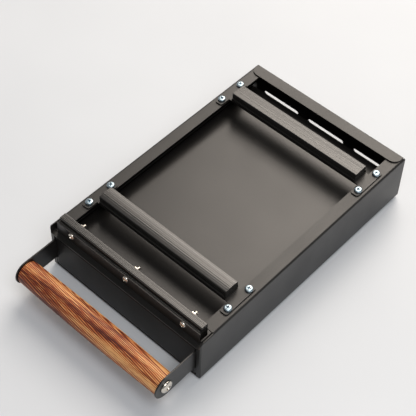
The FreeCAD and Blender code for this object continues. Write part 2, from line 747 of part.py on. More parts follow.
os.makedirs("parts", exist_ok=True)
for name, shape in NODES.items():
    shape.exportStep(os.path.join("parts", name + ".step"))
    limits = shape.BoundBox
    print(f"{name}: {len(shape.Solids)} solid(s), valid {shape.isValid()}, "
          f"x {limits.XMin:.1f}..{limits.XMax:.1f}, y {limits.YMin:.1f}..{limits.YMax:.1f}, "
          f"z {limits.ZMin:.1f}..{limits.ZMax:.1f}")
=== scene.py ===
# %% [markdown]
# # A drawer knock box for espresso grounds
# The object is a low steel case, open at the top, with two rubber-covered bars and a rubber strip across its
# mouth. A tray slides out of it by a turned wooden grip. The frame that loads here already holds every part
# at its real place and size, so this script only gives each part its finished shape and surface.

# %% Load the frame
import math

import bmesh
import bpy
from mathutils import Matrix, Vector


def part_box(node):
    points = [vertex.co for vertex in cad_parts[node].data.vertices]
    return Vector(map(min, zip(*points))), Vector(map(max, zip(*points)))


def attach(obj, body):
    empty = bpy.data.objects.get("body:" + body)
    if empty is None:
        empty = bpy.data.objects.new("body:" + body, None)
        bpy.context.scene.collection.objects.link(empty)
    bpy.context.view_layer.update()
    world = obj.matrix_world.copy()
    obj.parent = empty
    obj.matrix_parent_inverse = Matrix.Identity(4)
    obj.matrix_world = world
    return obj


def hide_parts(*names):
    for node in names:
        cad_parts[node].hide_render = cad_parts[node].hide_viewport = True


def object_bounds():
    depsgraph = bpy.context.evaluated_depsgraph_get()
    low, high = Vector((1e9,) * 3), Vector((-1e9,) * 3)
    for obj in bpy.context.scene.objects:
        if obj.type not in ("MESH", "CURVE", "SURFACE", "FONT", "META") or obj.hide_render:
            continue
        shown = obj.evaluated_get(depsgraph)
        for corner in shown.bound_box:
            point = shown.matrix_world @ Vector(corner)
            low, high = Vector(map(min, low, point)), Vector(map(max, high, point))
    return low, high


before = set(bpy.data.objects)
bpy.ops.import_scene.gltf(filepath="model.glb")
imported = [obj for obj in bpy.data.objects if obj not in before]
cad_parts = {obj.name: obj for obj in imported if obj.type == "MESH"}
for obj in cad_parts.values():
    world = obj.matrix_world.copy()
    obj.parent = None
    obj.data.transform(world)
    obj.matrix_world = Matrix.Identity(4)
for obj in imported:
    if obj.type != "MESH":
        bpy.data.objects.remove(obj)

MM = 0.001
scene = bpy.context.scene
cad_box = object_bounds()
print("parts in the frame:", len(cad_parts))
print("frame box in mm:", [round(v / MM, 1) for v in (*cad_box[0], *cad_box[1])])

# %% [markdown]
# ## Colours and nodes
# A colour is picked as a hex value on a screen, which is sRGB, while a renderer adds light up in linear
# numbers. One function converts. A second function adds any node to any tree, for materials and for Geometry
# Nodes alike, so every tree below reads as a list of nodes with their settings, values and links.


# %% Colour and node helpers
def colour(hex_code):
    """A hex sRGB colour as linear red, green, blue and alpha."""
    linear = []
    for start in (1, 3, 5):
        value = int(hex_code[start:start + 2], 16) / 255
        linear.append(value / 12.92 if value <= 0.04045 else ((value + 0.055) / 1.055) ** 2.4)
    return (*linear, 1.0)


def socket(sockets, key):
    """The socket with that number, or the first enabled one with that name."""
    if isinstance(key, int):
        return sockets[key]
    return next(s for s in sockets if s.name == key and s.enabled)


def add(tree, kind, links=None, values=None, **settings):
    """Add a node: settings are its properties, values its plain inputs, and links what feeds the others."""
    node = tree.nodes.new(kind)
    for name, setting in settings.items():
        setattr(node, name, setting)
    for key, value in (values or {}).items():
        socket(node.inputs, key).default_value = value
    for key, source in (links or {}).items():
        if isinstance(source, bpy.types.Node):
            source = next(output for output in source.outputs if output.enabled)
        tree.links.new(source, socket(node.inputs, key))
    return node


print("white in linear numbers:", [round(c, 3) for c in colour("#ffffff")])


# %% [markdown]
# ## Starting and ending a material
# Patterns are laid in Object coordinates, which are metres here, so a noise scale of 1 / size gives features
# of that real size. Every material ends in one Principled shader. A value that is the same everywhere is set
# on that shader itself, and only what varies over the surface is linked.


# %% Material helpers
def new_material(name):
    """An empty node material and its Object coordinates."""
    material = bpy.data.materials.new(name)
    material.use_nodes = True
    material.node_tree.nodes.clear()
    place = add(material.node_tree, "ShaderNodeTexCoord").outputs["Object"]
    return material, material.node_tree, place


def end_material(tree, links, values):
    """Close a material with a Principled shader and the output."""
    shader = add(tree, "ShaderNodeBsdfPrincipled", links, values)
    add(tree, "ShaderNodeOutputMaterial", {"Surface": shader})


def two_tone(tree, pattern, low, high, dark, light):
    """A ramp that turns a pattern's range low to high into two colours."""
    ramp = add(tree, "ShaderNodeValToRGB", {"Fac": pattern})
    ramp.color_ramp.elements[0].position = low
    ramp.color_ramp.elements[0].color = colour(dark)
    ramp.color_ramp.elements[1].position = high
    ramp.color_ramp.elements[1].color = colour(light)
    return ramp


# %% [markdown]
# ## Powder coat on the case
# The case is folded mild steel with a baked polyester powder coat, satin black. Powder melts into a skin that
# is never quite flat: it has a fine pebble under a millimetre across. That breaks a reflection into a soft
# warm grey sheen wherever a surface faces the light, and leaves it black elsewhere. Paint is not a metal, so
# the steel below plays no part in the shading. The tray's coat is smoother, and the drawer's front panel has a
# matter one that mirrors less of the table.


# %% Powder coat
def powder_coat(name, dark, light, grain, height, low_gloss, high_gloss, ior=1.54):
    """Baked satin powder: a pebbled skin whose gloss drifts a little from place to place."""
    material, tree, place = new_material(name)
    pebble = add(tree, "ShaderNodeTexNoise", {"Vector": place},
                 {"Scale": 1 / grain, "Detail": 3.0, "Roughness": 0.6})
    drift_size = 45 * MM
    drift = add(tree, "ShaderNodeTexNoise", {"Vector": place}, {"Scale": 1 / drift_size, "Detail": 2.0})
    base = two_tone(tree, pebble.outputs["Fac"], 0.35, 0.7, dark, light)
    gloss = add(tree, "ShaderNodeMapRange", {"Value": drift.outputs["Fac"]},
                {"From Min": 0.3, "From Max": 0.7, "To Min": low_gloss, "To Max": high_gloss})
    skin = add(tree, "ShaderNodeBump", {"Height": pebble.outputs["Fac"]}, {"Strength": 1.0, "Distance": height})
    end_material(tree, {"Base Color": base, "Roughness": gloss, "Normal": skin}, {"IOR": ior})
    return material


case_coat = powder_coat("Satin black powder coat", "#131211", "#1d1b19", 0.9 * MM, 0.02 * MM, 0.36, 0.43)
tray_coat = powder_coat("Smooth black powder coat", "#131211", "#191716", 1.6 * MM, 0.006 * MM, 0.30, 0.34)
front_coat = powder_coat("Matt black powder coat", "#0c0c0c", "#131313", 0.9 * MM, 0.02 * MM, 0.48, 0.56,
                         ior=1.4)
print("coats:", case_coat.name, "/", tray_coat.name, "/", front_coat.name)

# %% [markdown]
# ## Extruded rubber
# The bars and the front strip are solid black rubber, pushed through a die and cut to length. The die leaves
# fine lines along the length, and the surface is dull with a grey bloom, lighter than the paint when light
# grazes it. So the pattern is a noise drawn out two hundredfold along X, and it drives tone, gloss and relief.


# %% Rubber
def extruded_rubber(name, dark, light, line_width, relief, low_gloss, high_gloss):
    """Rubber with die lines along X, drawn line_width wide."""
    material, tree, place = new_material(name)
    stretch = 0.005
    lines_place = add(tree, "ShaderNodeMapping", {"Vector": place}, {"Scale": (stretch, 1.0, 1.0)})
    lines = add(tree, "ShaderNodeTexNoise", {"Vector": lines_place}, {"Scale": 1 / line_width, "Detail": 4.0})
    speck_size = 0.6 * MM
    speck = add(tree, "ShaderNodeTexNoise", {"Vector": place}, {"Scale": 1 / speck_size, "Detail": 2.0})
    mixed = add(tree, "ShaderNodeMath", {0: speck.outputs["Fac"], 2: lines.outputs["Fac"]}, {1: 0.12},
                operation="MULTIPLY_ADD")
    base = two_tone(tree, mixed, 0.36, 0.76, dark, light)
    gloss = add(tree, "ShaderNodeMapRange", {"Value": mixed},
                {"From Min": 0.34, "From Max": 0.79, "To Min": high_gloss, "To Max": low_gloss})
    skin = add(tree, "ShaderNodeBump", {"Height": mixed}, {"Strength": 1.0, "Distance": relief})
    end_material(tree, {"Base Color": base, "Roughness": gloss, "Normal": skin}, {"IOR": 1.72})
    return material


bar_rubber = extruded_rubber("Extruded bar rubber", "#0f0e0e", "#272522", 1.3 * MM, 0.14 * MM, 0.22, 0.40)
strip_rubber = extruded_rubber("Extruded strip rubber", "#0f0e0e", "#292723", 1.0 * MM, 0.09 * MM, 0.22, 0.34)
foot_rubber = extruded_rubber("Moulded foot rubber", "#121212", "#1d1c1b", 2.0 * MM, 0.02 * MM, 0.55, 0.65)
print("rubbers:", bar_rubber.name, "/", strip_rubber.name, "/", foot_rubber.name)

# %% [markdown]
# ## Metals of the fasteners
# Four finishes: bright zinc with its blue passivation on the bracket screws, polished nickel on the strip and
# handle screws, plain rolled steel on the hidden cores, and brass for the inserts in the wood. A metal's
# colour is its reflection, so the hue goes into the base colour, metallic is 1 and the default IOR stays.


# %% Metals
def worked_metal(name, dark, light, mark_size, relief, low_gloss, high_gloss):
    """A metal with fine marks whose size is that of the tool's or the plating's grain."""
    material, tree, place = new_material(name)
    marks = add(tree, "ShaderNodeTexNoise", {"Vector": place}, {"Scale": 1 / mark_size, "Detail": 3.0})
    base = two_tone(tree, marks.outputs["Fac"], 0.35, 0.65, dark, light)
    gloss = add(tree, "ShaderNodeMapRange", {"Value": marks.outputs["Fac"]},
                {"From Min": 0.3, "From Max": 0.7, "To Min": low_gloss, "To Max": high_gloss})
    skin = add(tree, "ShaderNodeBump", {"Height": marks.outputs["Fac"]}, {"Strength": 1.0, "Distance": relief})
    end_material(tree, {"Base Color": base, "Roughness": gloss, "Normal": skin}, {"Metallic": 1.0})
    return material


zinc = worked_metal("Blue-passivated zinc plate", "#93a9b6", "#c3d0d8", 0.5 * MM, 0.003 * MM, 0.30, 0.40)
nickel = worked_metal("Polished nickel plate", "#cfc6ba", "#ece6dc", 0.8 * MM, 0.001 * MM, 0.10, 0.18)
rolled_steel = worked_metal("Rolled bright steel", "#8d8d8b", "#a9a8a5", 0.4 * MM, 0.004 * MM, 0.30, 0.42)
brass = worked_metal("Turned brass", "#b8954a", "#d6b465", 0.4 * MM, 0.003 * MM, 0.22, 0.32)
print("metals:", zinc.name, "/", nickel.name, "/", rolled_steel.name, "/", brass.name)

# %% [markdown]
# ## Nylon for the glides
# The strips that the tray slides on are natural nylon, milky with a dull polish where the tray has rubbed it.

# %% Nylon
nylon, tree, place = new_material("Natural nylon")
rub_place = add(tree, "ShaderNodeMapping", {"Vector": place}, {"Scale": (1.0, 0.02, 1.0)})
rub = add(tree, "ShaderNodeTexNoise", {"Vector": rub_place}, {"Scale": 1 / (1.5 * MM), "Detail": 3.0})
nylon_tone = two_tone(tree, rub.outputs["Fac"], 0.3, 0.7, "#c9c4b6", "#ded9cc")
nylon_gloss = add(tree, "ShaderNodeMapRange", {"Value": rub.outputs["Fac"]}, {"To Min": 0.3, "To Max": 0.55})
end_material(tree, {"Base Color": nylon_tone, "Roughness": nylon_gloss}, {"IOR": 1.53})
print("glides:", nylon.name)

# %% [markdown]
# ## Oiled hardwood
# The grip is turned from a reddish tropical hardwood and oiled. Its figure is solid: growth rings are long
# shells about the heart of the tree, which lay well outside this stick, and the lathe cuts through them, so
# lines run along the grip and close into long tongues where it swells. On top lie dark pores, a few tenths
# of a millimetre wide and centimetres long. Both are solid patterns, so ends and sides agree.
# The rings of the real stick are finer than a render this size can show, so they are drawn 1.6 mm apart.

# %% Wood
RING_SPACING = 1.6 * MM
HEART_AWAY = (0.0, 21 * MM, 17 * MM)       # from the grip's axis to the heart of the tree
GRAIN_SLOPE = 0.11                         # the stick wasn't cut quite along the grain
SWAY_WIDTH = 14 * MM                       # how far apart the slow bends in the grain are
SWAY_AMOUNT = 4.5 * MM
PORE_WIDTH = 0.7 * MM
BAND_WIDTH = 11 * MM                       # broad streaks of darker and lighter wood
RING_SHARE = 0.30                          # weight of rings and bands beside the pores
BAND_SHARE = 1.6

grip_low, grip_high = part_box("handle_grip")
grip_centre = (grip_low + grip_high) / 2

wood, tree, place = new_material("Oiled red hardwood")
local = add(tree, "ShaderNodeMapping", {"Vector": place}, {"Location": tuple(-grip_centre)})
sway_place = add(tree, "ShaderNodeMapping", {"Vector": local}, {"Scale": (0.12, 1.0, 1.0)})
sway = add(tree, "ShaderNodeTexNoise", {"Vector": sway_place}, {"Scale": 1 / SWAY_WIDTH, "Detail": 2.0})
sway_shift = add(tree, "ShaderNodeVectorMath", {0: sway.outputs["Color"]}, {1: (0.5, 0.5, 0.5)},
                 operation="SUBTRACT")
swayed = add(tree, "ShaderNodeVectorMath", {0: sway_shift, 2: local}, {1: (0.0, SWAY_AMOUNT, SWAY_AMOUNT)},
             operation="MULTIPLY_ADD")
along = add(tree, "ShaderNodeSeparateXYZ", {0: swayed})
leaned = add(tree, "ShaderNodeMath", {0: along.outputs["X"], 2: along.outputs["Y"]}, {1: GRAIN_SLOPE},
             operation="MULTIPLY_ADD")
across = add(tree, "ShaderNodeCombineXYZ", {"Y": leaned, "Z": along.outputs["Z"]})
from_heart = add(tree, "ShaderNodeVectorMath", {0: across}, {1: HEART_AWAY}, operation="DISTANCE")
ring_turn = add(tree, "ShaderNodeMath", {0: from_heart}, {1: 2 * math.pi / RING_SPACING}, operation="MULTIPLY")
ring_wave = add(tree, "ShaderNodeMath", {0: ring_turn}, operation="SINE")
rings = add(tree, "ShaderNodeMapRange", {"Value": ring_wave}, {"From Min": -1.0, "From Max": 1.0})
fibre_place = add(tree, "ShaderNodeMapping", {"Vector": swayed}, {"Scale": (0.014, 1.0, 1.0)})
fibre = add(tree, "ShaderNodeTexNoise", {"Vector": fibre_place}, {"Scale": 1 / PORE_WIDTH, "Detail": 4.0})
band_place = add(tree, "ShaderNodeMapping", {"Vector": swayed}, {"Scale": (0.05, 1.0, 1.0)})
band = add(tree, "ShaderNodeTexNoise", {"Vector": band_place}, {"Scale": 1 / BAND_WIDTH, "Detail": 2.0})
figure = add(tree, "ShaderNodeMath", {0: rings, 2: fibre.outputs["Fac"]}, {1: RING_SHARE},
             operation="MULTIPLY_ADD")
figured = add(tree, "ShaderNodeMath", {0: band.outputs["Fac"], 2: figure}, {1: BAND_SHARE},
              operation="MULTIPLY_ADD")
print("wood rings:", round(RING_SPACING / MM, 2), "mm apart")

# %% [markdown]
# The figure runs from about 0.9 to 2.1, and a colour ramp only takes 0 to 1, so it is scaled first.

# %% Wood colour and finish
WOOD_TONES = [(1.08, "#280d06"), (1.29, "#6c2712"), (1.46, "#b86331"), (1.66, "#edb676")]
FIGURE_LOW = 0.9
FIGURE_HIGH = 2.1
scaled = add(tree, "ShaderNodeMapRange", {"Value": figured}, {"From Min": FIGURE_LOW, "From Max": FIGURE_HIGH})
wood_tone = add(tree, "ShaderNodeValToRGB", {"Fac": scaled})
while len(wood_tone.color_ramp.elements) < len(WOOD_TONES):
    wood_tone.color_ramp.elements.new(0.5)
for stop, (level, tone) in zip(wood_tone.color_ramp.elements, WOOD_TONES):
    stop.position = (level - FIGURE_LOW) / (FIGURE_HIGH - FIGURE_LOW)
    stop.color = colour(tone)
wood_gloss = add(tree, "ShaderNodeMapRange", {"Value": fibre.outputs["Fac"]}, {"To Min": 0.48, "To Max": 0.62})
wood_skin = add(tree, "ShaderNodeBump", {"Height": fibre.outputs["Fac"]},
                {"Strength": 1.0, "Distance": 0.04 * MM})
end_material(tree, {"Base Color": wood_tone, "Roughness": wood_gloss, "Normal": wood_skin}, {"IOR": 1.46})
print("wood tones:", [tone for _, tone in WOOD_TONES])

# %% [markdown]
# ## Painted sheet parts
# The folded parts are already right in shape, but their cut edges are knife sharp. Powder builds up over an
# edge and rounds it by a few tenths of a millimetre, which is what catches the light along every flange. So
# each sheet part is copied, its triangles are joined back into whole faces, its sharp edges are bevelled, and
# the copy stands in for the plain part.


# %% Ease the edges of a sheet part
EDGE_ROUND = 0.28 * MM
SHARP = math.radians(38)


def eased(node, body, material):
    """A copy of a sheet part with every sharp edge rounded, in place of the part itself."""
    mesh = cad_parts[node].data.copy()
    shape = bmesh.new()
    shape.from_mesh(mesh)
    bmesh.ops.remove_doubles(shape, verts=shape.verts, dist=0.0005 * MM)
    bmesh.ops.dissolve_limit(shape, angle_limit=math.radians(0.3), verts=shape.verts, edges=shape.edges)
    sharp = [e for e in shape.edges if len(e.link_faces) == 2 and e.calc_face_angle() > SHARP]
    bmesh.ops.bevel(shape, geom=sharp, offset=EDGE_ROUND, segments=2, profile=0.5, affect="EDGES",
                    clamp_overlap=True)
    shape.to_mesh(mesh)
    shape.free()
    mesh.materials.clear()
    mesh.materials.append(material)
    mesh.shade_smooth()
    mesh.set_sharp_from_angle(angle=math.radians(50))
    piece = bpy.data.objects.new(node + "_painted", mesh)
    scene.collection.objects.link(piece)
    level = piece.modifiers.new("Keep flats flat", "WEIGHTED_NORMAL")
    level.keep_sharp = True
    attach(piece, body)
    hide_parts(node)
    print(piece.name, "faces:", len(mesh.polygons), "edges eased:", len(sharp))


for node in ("case_shell", "rear_panel", "front_crossmember", "middle_bar_bracket", "rear_bar_bracket"):
    eased(node, "case", case_coat)
for node, coat in (("drawer_tray", tray_coat), ("raised_floor", tray_coat), ("drawer_front", front_coat)):
    eased(node, "drawer", coat)

# %% [markdown]
# ## Geometry Nodes: starting and ending a tree
# What repeats, or follows a rule, is grown by a node tree with named sizes. The tree runs on a small start
# mesh, and its result is kept as a plain mesh, so the finished part holds nothing of the tree.


# %% Tree helpers
def new_tree(name, sizes):
    """A Geometry Nodes tree with one named input for each size, and its input sockets."""
    tree = bpy.data.node_groups.new(name, "GeometryNodeTree")
    tree.interface.new_socket("Geometry", in_out="INPUT", socket_type="NodeSocketGeometry")
    for title, value in sizes.items():
        tree.interface.new_socket(title, in_out="INPUT", socket_type="NodeSocketFloat").default_value = value
    tree.interface.new_socket("Material", in_out="INPUT", socket_type="NodeSocketMaterial")
    tree.interface.new_socket("Geometry", in_out="OUTPUT", socket_type="NodeSocketGeometry")
    return tree, tree.nodes.new("NodeGroupInput").outputs


def end_tree(tree, entry, shape):
    """Make instances real, set the material and send the result out."""
    real = add(tree, "GeometryNodeRealizeInstances", {"Geometry": shape})
    finished = add(tree, "GeometryNodeSetMaterial", {"Geometry": real, "Material": entry["Material"]})
    add(tree, "NodeGroupOutput", {"Geometry": finished})


def grow(tree, start, name, values, smooth_under=35.0):
    """Run a tree on a start mesh and keep the result as a plain mesh object."""
    carrier = bpy.data.objects.new(name + "_start", start)
    scene.collection.objects.link(carrier)
    modifier = carrier.modifiers.new("Grow", "NODES")
    modifier.node_group = tree
    for item in tree.interface.items_tree:
        if item.in_out == "INPUT" and item.name in values:
            modifier[item.identifier] = values[item.name]
    graph = bpy.context.evaluated_depsgraph_get()
    mesh = bpy.data.meshes.new_from_object(carrier.evaluated_get(graph), preserve_all_data_layers=True,
                                           depsgraph=graph)
    bpy.data.objects.remove(carrier)
    mesh.materials.clear()
    mesh.materials.append(values["Material"])
    for face in mesh.polygons:
        face.material_index = 0
    mesh.shade_smooth()
    mesh.set_sharp_from_angle(angle=math.radians(smooth_under))
    piece = bpy.data.objects.new(name, mesh)
    scene.collection.objects.link(piece)
    print(name, "faces:", len(mesh.polygons))
    return piece


def keep(piece, body, material_slot, *nodes):
    """Fix a finished piece to its body, in place of the plain parts."""
    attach(piece, body)
    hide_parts(*nodes)


# %% [markdown]
# ## Cross-head screws
# Nineteen screws in four sizes hold the box together. Cold heading gives each a domed head with a tapered
# cross pressed into it, and a rolled thread. One tree makes them all: a disc is raised into a dome by a power
# curve, two tapered wedges are cut out of it, a helix wraps the shank, and the screw is set on every point,
# turned to face the way that the point says, and spun by a random angle as a real screw stops anywhere.

# %% The screw tree
screw_tree, screw = new_tree("Cross-head screws", {
    "Head Radius": 4.0 * MM, "Head Height": 2.4 * MM, "Rim Height": 0.8 * MM, "Dome Power": 3.0,
    "Shank Radius": 2.0 * MM, "Length": 6.0 * MM, "Thread Pitch": 0.7 * MM,
    "Recess Span": 4.2 * MM, "Recess Width": 1.0 * MM, "Recess Depth": 1.3 * MM})
head_disc = add(screw_tree, "GeometryNodeMeshCylinder",
                {"Radius": screw["Head Radius"], "Depth": screw["Head Height"]},
                {"Vertices": 48, "Side Segments": 1, "Fill Segments": 12})
half_head = add(screw_tree, "ShaderNodeMath", {0: screw["Head Height"]}, {1: 0.5}, operation="MULTIPLY")
head_lift = add(screw_tree, "ShaderNodeCombineXYZ", {"Z": half_head})
head_raised = add(screw_tree, "GeometryNodeSetPosition", {"Geometry": head_disc, "Offset": head_lift})
point = add(screw_tree, "GeometryNodeInputPosition")
point_parts = add(screw_tree, "ShaderNodeSeparateXYZ", {0: point})
point_flat = add(screw_tree, "ShaderNodeVectorMath", {0: point}, {1: (1.0, 1.0, 0.0)}, operation="MULTIPLY")
point_out = add(screw_tree, "ShaderNodeVectorMath", {0: point_flat}, operation="LENGTH")
out_share = add(screw_tree, "ShaderNodeMath", {0: point_out, 1: screw["Head Radius"]}, operation="DIVIDE")
out_power = add(screw_tree, "ShaderNodeMath", {0: out_share, 1: screw["Dome Power"]}, operation="POWER")
dome_left = add(screw_tree, "ShaderNodeMath", {1: out_power}, {0: 1.0}, operation="SUBTRACT", use_clamp=True)
dome_root = add(screw_tree, "ShaderNodeMath", {0: dome_left}, operation="SQRT")
dome_rise = add(screw_tree, "ShaderNodeMath", {0: screw["Head Height"], 1: screw["Rim Height"]},
                operation="SUBTRACT")
dome_z = add(screw_tree, "ShaderNodeMath", {0: dome_root, 1: dome_rise, 2: screw["Rim Height"]},
             operation="MULTIPLY_ADD")
dome_place = add(screw_tree, "ShaderNodeCombineXYZ",
                 {"X": point_parts.outputs["X"], "Y": point_parts.outputs["Y"], "Z": dome_z})
is_top = add(screw_tree, "FunctionNodeCompare", {"A": point_parts.outputs["Z"], "B": half_head},
             data_type="FLOAT", operation="GREATER_THAN")
head = add(screw_tree, "GeometryNodeSetPosition", {"Geometry": head_raised, "Selection": is_top,
                                                   "Position": dome_place})
print("screw head nodes:", len(screw_tree.nodes))

# %% [markdown]
# The recess is two wedges at right angles. Each is a box whose lower corners are pulled in, so the cross
# narrows with depth as a driver's tip does.

# %% The recess, shank and thread
wedge_height = add(screw_tree, "ShaderNodeMath", {0: screw["Recess Depth"]}, {1: 2.0}, operation="MULTIPLY")
wedge_size = add(screw_tree, "ShaderNodeCombineXYZ", {"X": screw["Recess Span"], "Y": screw["Recess Width"],
                                                      "Z": wedge_height})
wedge_box = add(screw_tree, "GeometryNodeMeshCube", {"Size": wedge_size})
is_low = add(screw_tree, "FunctionNodeCompare", {"A": point_parts.outputs["Z"]}, {"B": 0.0},
             data_type="FLOAT", operation="LESS_THAN")
TAPER = (0.6, 0.85, 1.0)
pulled_in = add(screw_tree, "ShaderNodeVectorMath", {0: point}, {1: TAPER}, operation="MULTIPLY")
wedge = add(screw_tree, "GeometryNodeSetPosition",
            {"Geometry": wedge_box, "Selection": is_low, "Position": pulled_in})
wedge_top = add(screw_tree, "ShaderNodeCombineXYZ", {"Z": screw["Head Height"]})
cut_head = head
for quarter in (0.0, math.pi / 2):
    cutter = add(screw_tree, "GeometryNodeTransform", {"Geometry": wedge, "Translation": wedge_top},
                 {"Rotation": (0.0, 0.0, quarter)})
    cut_head = add(screw_tree, "GeometryNodeMeshBoolean", {"Mesh 1": cut_head, "Mesh 2": cutter},
                   operation="DIFFERENCE")
CORE_SHARE = 0.86
core_radius = add(screw_tree, "ShaderNodeMath", {0: screw["Shank Radius"]}, {1: CORE_SHARE},
                  operation="MULTIPLY")
shank_down = add(screw_tree, "ShaderNodeMath", {0: screw["Length"]}, {1: -0.5}, operation="MULTIPLY")
shank_place = add(screw_tree, "ShaderNodeCombineXYZ", {"Z": shank_down})
shank_rod = add(screw_tree, "GeometryNodeMeshCylinder", {"Radius": core_radius, "Depth": screw["Length"]},
                {"Vertices": 24, "Side Segments": 1, "Fill Segments": 1})
shank = add(screw_tree, "GeometryNodeSetPosition", {"Geometry": shank_rod, "Offset": shank_place})
thread_turns = add(screw_tree, "ShaderNodeMath", {0: screw["Length"], 1: screw["Thread Pitch"]},
                   operation="DIVIDE")
helix = add(screw_tree, "GeometryNodeCurveSpiral",
            {"Rotations": thread_turns, "Start Radius": core_radius, "End Radius": core_radius,
             "Height": screw["Length"]}, {"Resolution": 16})
thread_size = add(screw_tree, "ShaderNodeMath", {0: screw["Shank Radius"], 1: core_radius},
                  operation="SUBTRACT")
thread_form = add(screw_tree, "GeometryNodeCurvePrimitiveCircle", {"Radius": thread_size}, {"Resolution": 3})
thread = add(screw_tree, "GeometryNodeCurveToMesh", {"Curve": helix, "Profile Curve": thread_form},
             {"Fill Caps": True})
thread_down = add(screw_tree, "ShaderNodeMath", {0: screw["Length"]}, {1: -1.0}, operation="MULTIPLY")
thread_place = add(screw_tree, "ShaderNodeCombineXYZ", {"Z": thread_down})
thread_low = add(screw_tree, "GeometryNodeSetPosition", {"Geometry": thread, "Offset": thread_place})
whole_screw = add(screw_tree, "GeometryNodeJoinGeometry", {"Geometry": cut_head})
screw_tree.links.new(shank.outputs[0], whole_screw.inputs[0])
screw_tree.links.new(thread_low.outputs[0], whole_screw.inputs[0])

# %% [markdown]
# Each start point carries a `facing` vector, which way its head looks. Aligning to it and then turning about
# the screw's own axis keeps the head flat on its seat.

# %% Setting screws on points
SPIN_SEED = 7
facing = add(screw_tree, "GeometryNodeInputNamedAttribute", values={"Name": "facing"},
             data_type="FLOAT_VECTOR")
aligned = add(screw_tree, "FunctionNodeAlignRotationToVector", {"Vector": facing}, axis="Z")
spin = add(screw_tree, "FunctionNodeRandomValue", values={"Min": 0.0, "Max": math.pi / 2, "Seed": SPIN_SEED},
           data_type="FLOAT")
spin_turn = add(screw_tree, "ShaderNodeCombineXYZ", {"Z": spin})
placed = add(screw_tree, "GeometryNodeInstanceOnPoints",
             {"Points": screw["Geometry"], "Instance": whole_screw, "Rotation": aligned})
spun = add(screw_tree, "GeometryNodeRotateInstances", {"Instances": placed, "Rotation": spin_turn})
end_tree(screw_tree, screw, spun)


def points_facing(places):
    """A start mesh with one vertex for each (place, facing) pair."""
    mesh = bpy.data.meshes.new("points")
    mesh.from_pydata([tuple(place) for place, _ in places], [], [])
    facing_data = mesh.attributes.new("facing", "FLOAT_VECTOR", "POINT")
    facing_data.data.foreach_set("vector", [value for _, direction in places for value in direction])
    return mesh


print("screw tree nodes:", len(screw_tree.nodes))

# %% [markdown]
# ## Screws on the bar brackets
# Four pan heads hold each bracket to the side flanges. The box of the plain screws gives their places: a
# head's centre is one head radius in from each corner of that box. From below, three more of the same screws
# hold each bar's steel core.

# %% Bracket and bar screws
PAN_RADIUS = 4.0 * MM
PAN_HEIGHT = 2.4 * MM
PAN_SIZES = {"Head Radius": PAN_RADIUS, "Head Height": PAN_HEIGHT, "Rim Height": 1.1 * MM, "Dome Power": 5.0,
             "Shank Radius": 2.0 * MM, "Thread Pitch": 0.7 * MM, "Recess Span": 5.0 * MM,
             "Recess Width": 1.4 * MM, "Recess Depth": 2.2 * MM, "Material": zinc}
for bar in ("middle", "rear"):
    node = bar + "_bracket_screws"
    low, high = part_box(node)
    seat = high.z - PAN_HEIGHT
    corners = [(x, y, seat) for x in (low.x + PAN_RADIUS, high.x - PAN_RADIUS)
               for y in (low.y + PAN_RADIUS, high.y - PAN_RADIUS)]
    start = points_facing([(corner, (0, 0, 1)) for corner in corners])
    screws = grow(screw_tree, start, node + "_headed", {**PAN_SIZES, "Length": seat - low.z})
    keep(screws, "case", "zinc_steel", node)

    node = bar + "_bar_screws"
    low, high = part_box(node)
    seat = low.z + PAN_HEIGHT
    middle_y = (low.y + high.y) / 2
    row = [(x, middle_y, seat) for x in (low.x + PAN_RADIUS, 0.0, high.x - PAN_RADIUS)]
    start = points_facing([(place, (0, 0, -1)) for place in row])
    screws = grow(screw_tree, start, node + "_headed", {**PAN_SIZES, "Length": high.z - seat})
    keep(screws, "case", "zinc_steel", node)

# %% [markdown]
# ## Strip screws and handle screws
# The three strip screws run back through the rubber to their nuts, and their points show behind it. The two
# handle screws have wide, low truss heads and a coarse cross.

# %% Strip and handle screws
STRIP_HEAD_RADIUS = 3.5 * MM
STRIP_HEAD_HEIGHT = 2.0 * MM
low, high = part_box("front_strip_screws")
strip_seat = low.y + STRIP_HEAD_HEIGHT
strip_screw_z = (low.z + high.z) / 2
strip_xs = (low.x + STRIP_HEAD_RADIUS, 0.0, high.x - STRIP_HEAD_RADIUS)
start = points_facing([((x, strip_seat, strip_screw_z), (0, -1, 0)) for x in strip_xs])
strip_screws = grow(screw_tree, start, "front_strip_screws_headed", {
    "Head Radius": STRIP_HEAD_RADIUS, "Head Height": STRIP_HEAD_HEIGHT, "Rim Height": 0.5 * MM,
    "Dome Power": 2.4, "Shank Radius": 2.0 * MM, "Length": high.y - strip_seat, "Thread Pitch": 0.7 * MM,
    "Recess Span": 3.9 * MM, "Recess Width": 1.1 * MM, "Recess Depth": 1.3 * MM, "Material": nickel})
keep(strip_screws, "case", "bright_steel", "front_strip_screws")

TRUSS_RADIUS = 6.9 * MM
TRUSS_HEIGHT = 3.0 * MM
low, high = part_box("handle_screws")
truss_seat = high.x - TRUSS_HEIGHT
truss_y = (low.y + high.y) / 2
truss_z = (low.z + high.z) / 2
start = points_facing([((side * truss_seat, truss_y, truss_z), (side, 0, 0)) for side in (-1, 1)])
handle_screws = grow(screw_tree, start, "handle_screws_headed", {
    "Head Radius": TRUSS_RADIUS, "Head Height": TRUSS_HEIGHT, "Rim Height": 0.6 * MM, "Dome Power": 2.1,
    "Shank Radius": 3.0 * MM, "Length": 15.0 * MM, "Thread Pitch": 1.0 * MM, "Recess Span": 7.2 * MM,
    "Recess Width": 1.9 * MM, "Recess Depth": 1.9 * MM, "Material": nickel})
keep(handle_screws, "drawer", "bright_steel", "handle_screws")

# %% [markdown]
# ## Hexagon nuts
# A nut is a hexagon bar with its corners turned down by a cone, and a hole. Written as that same recipe, the
# curved chamfer lines on the six flats come out by themselves.

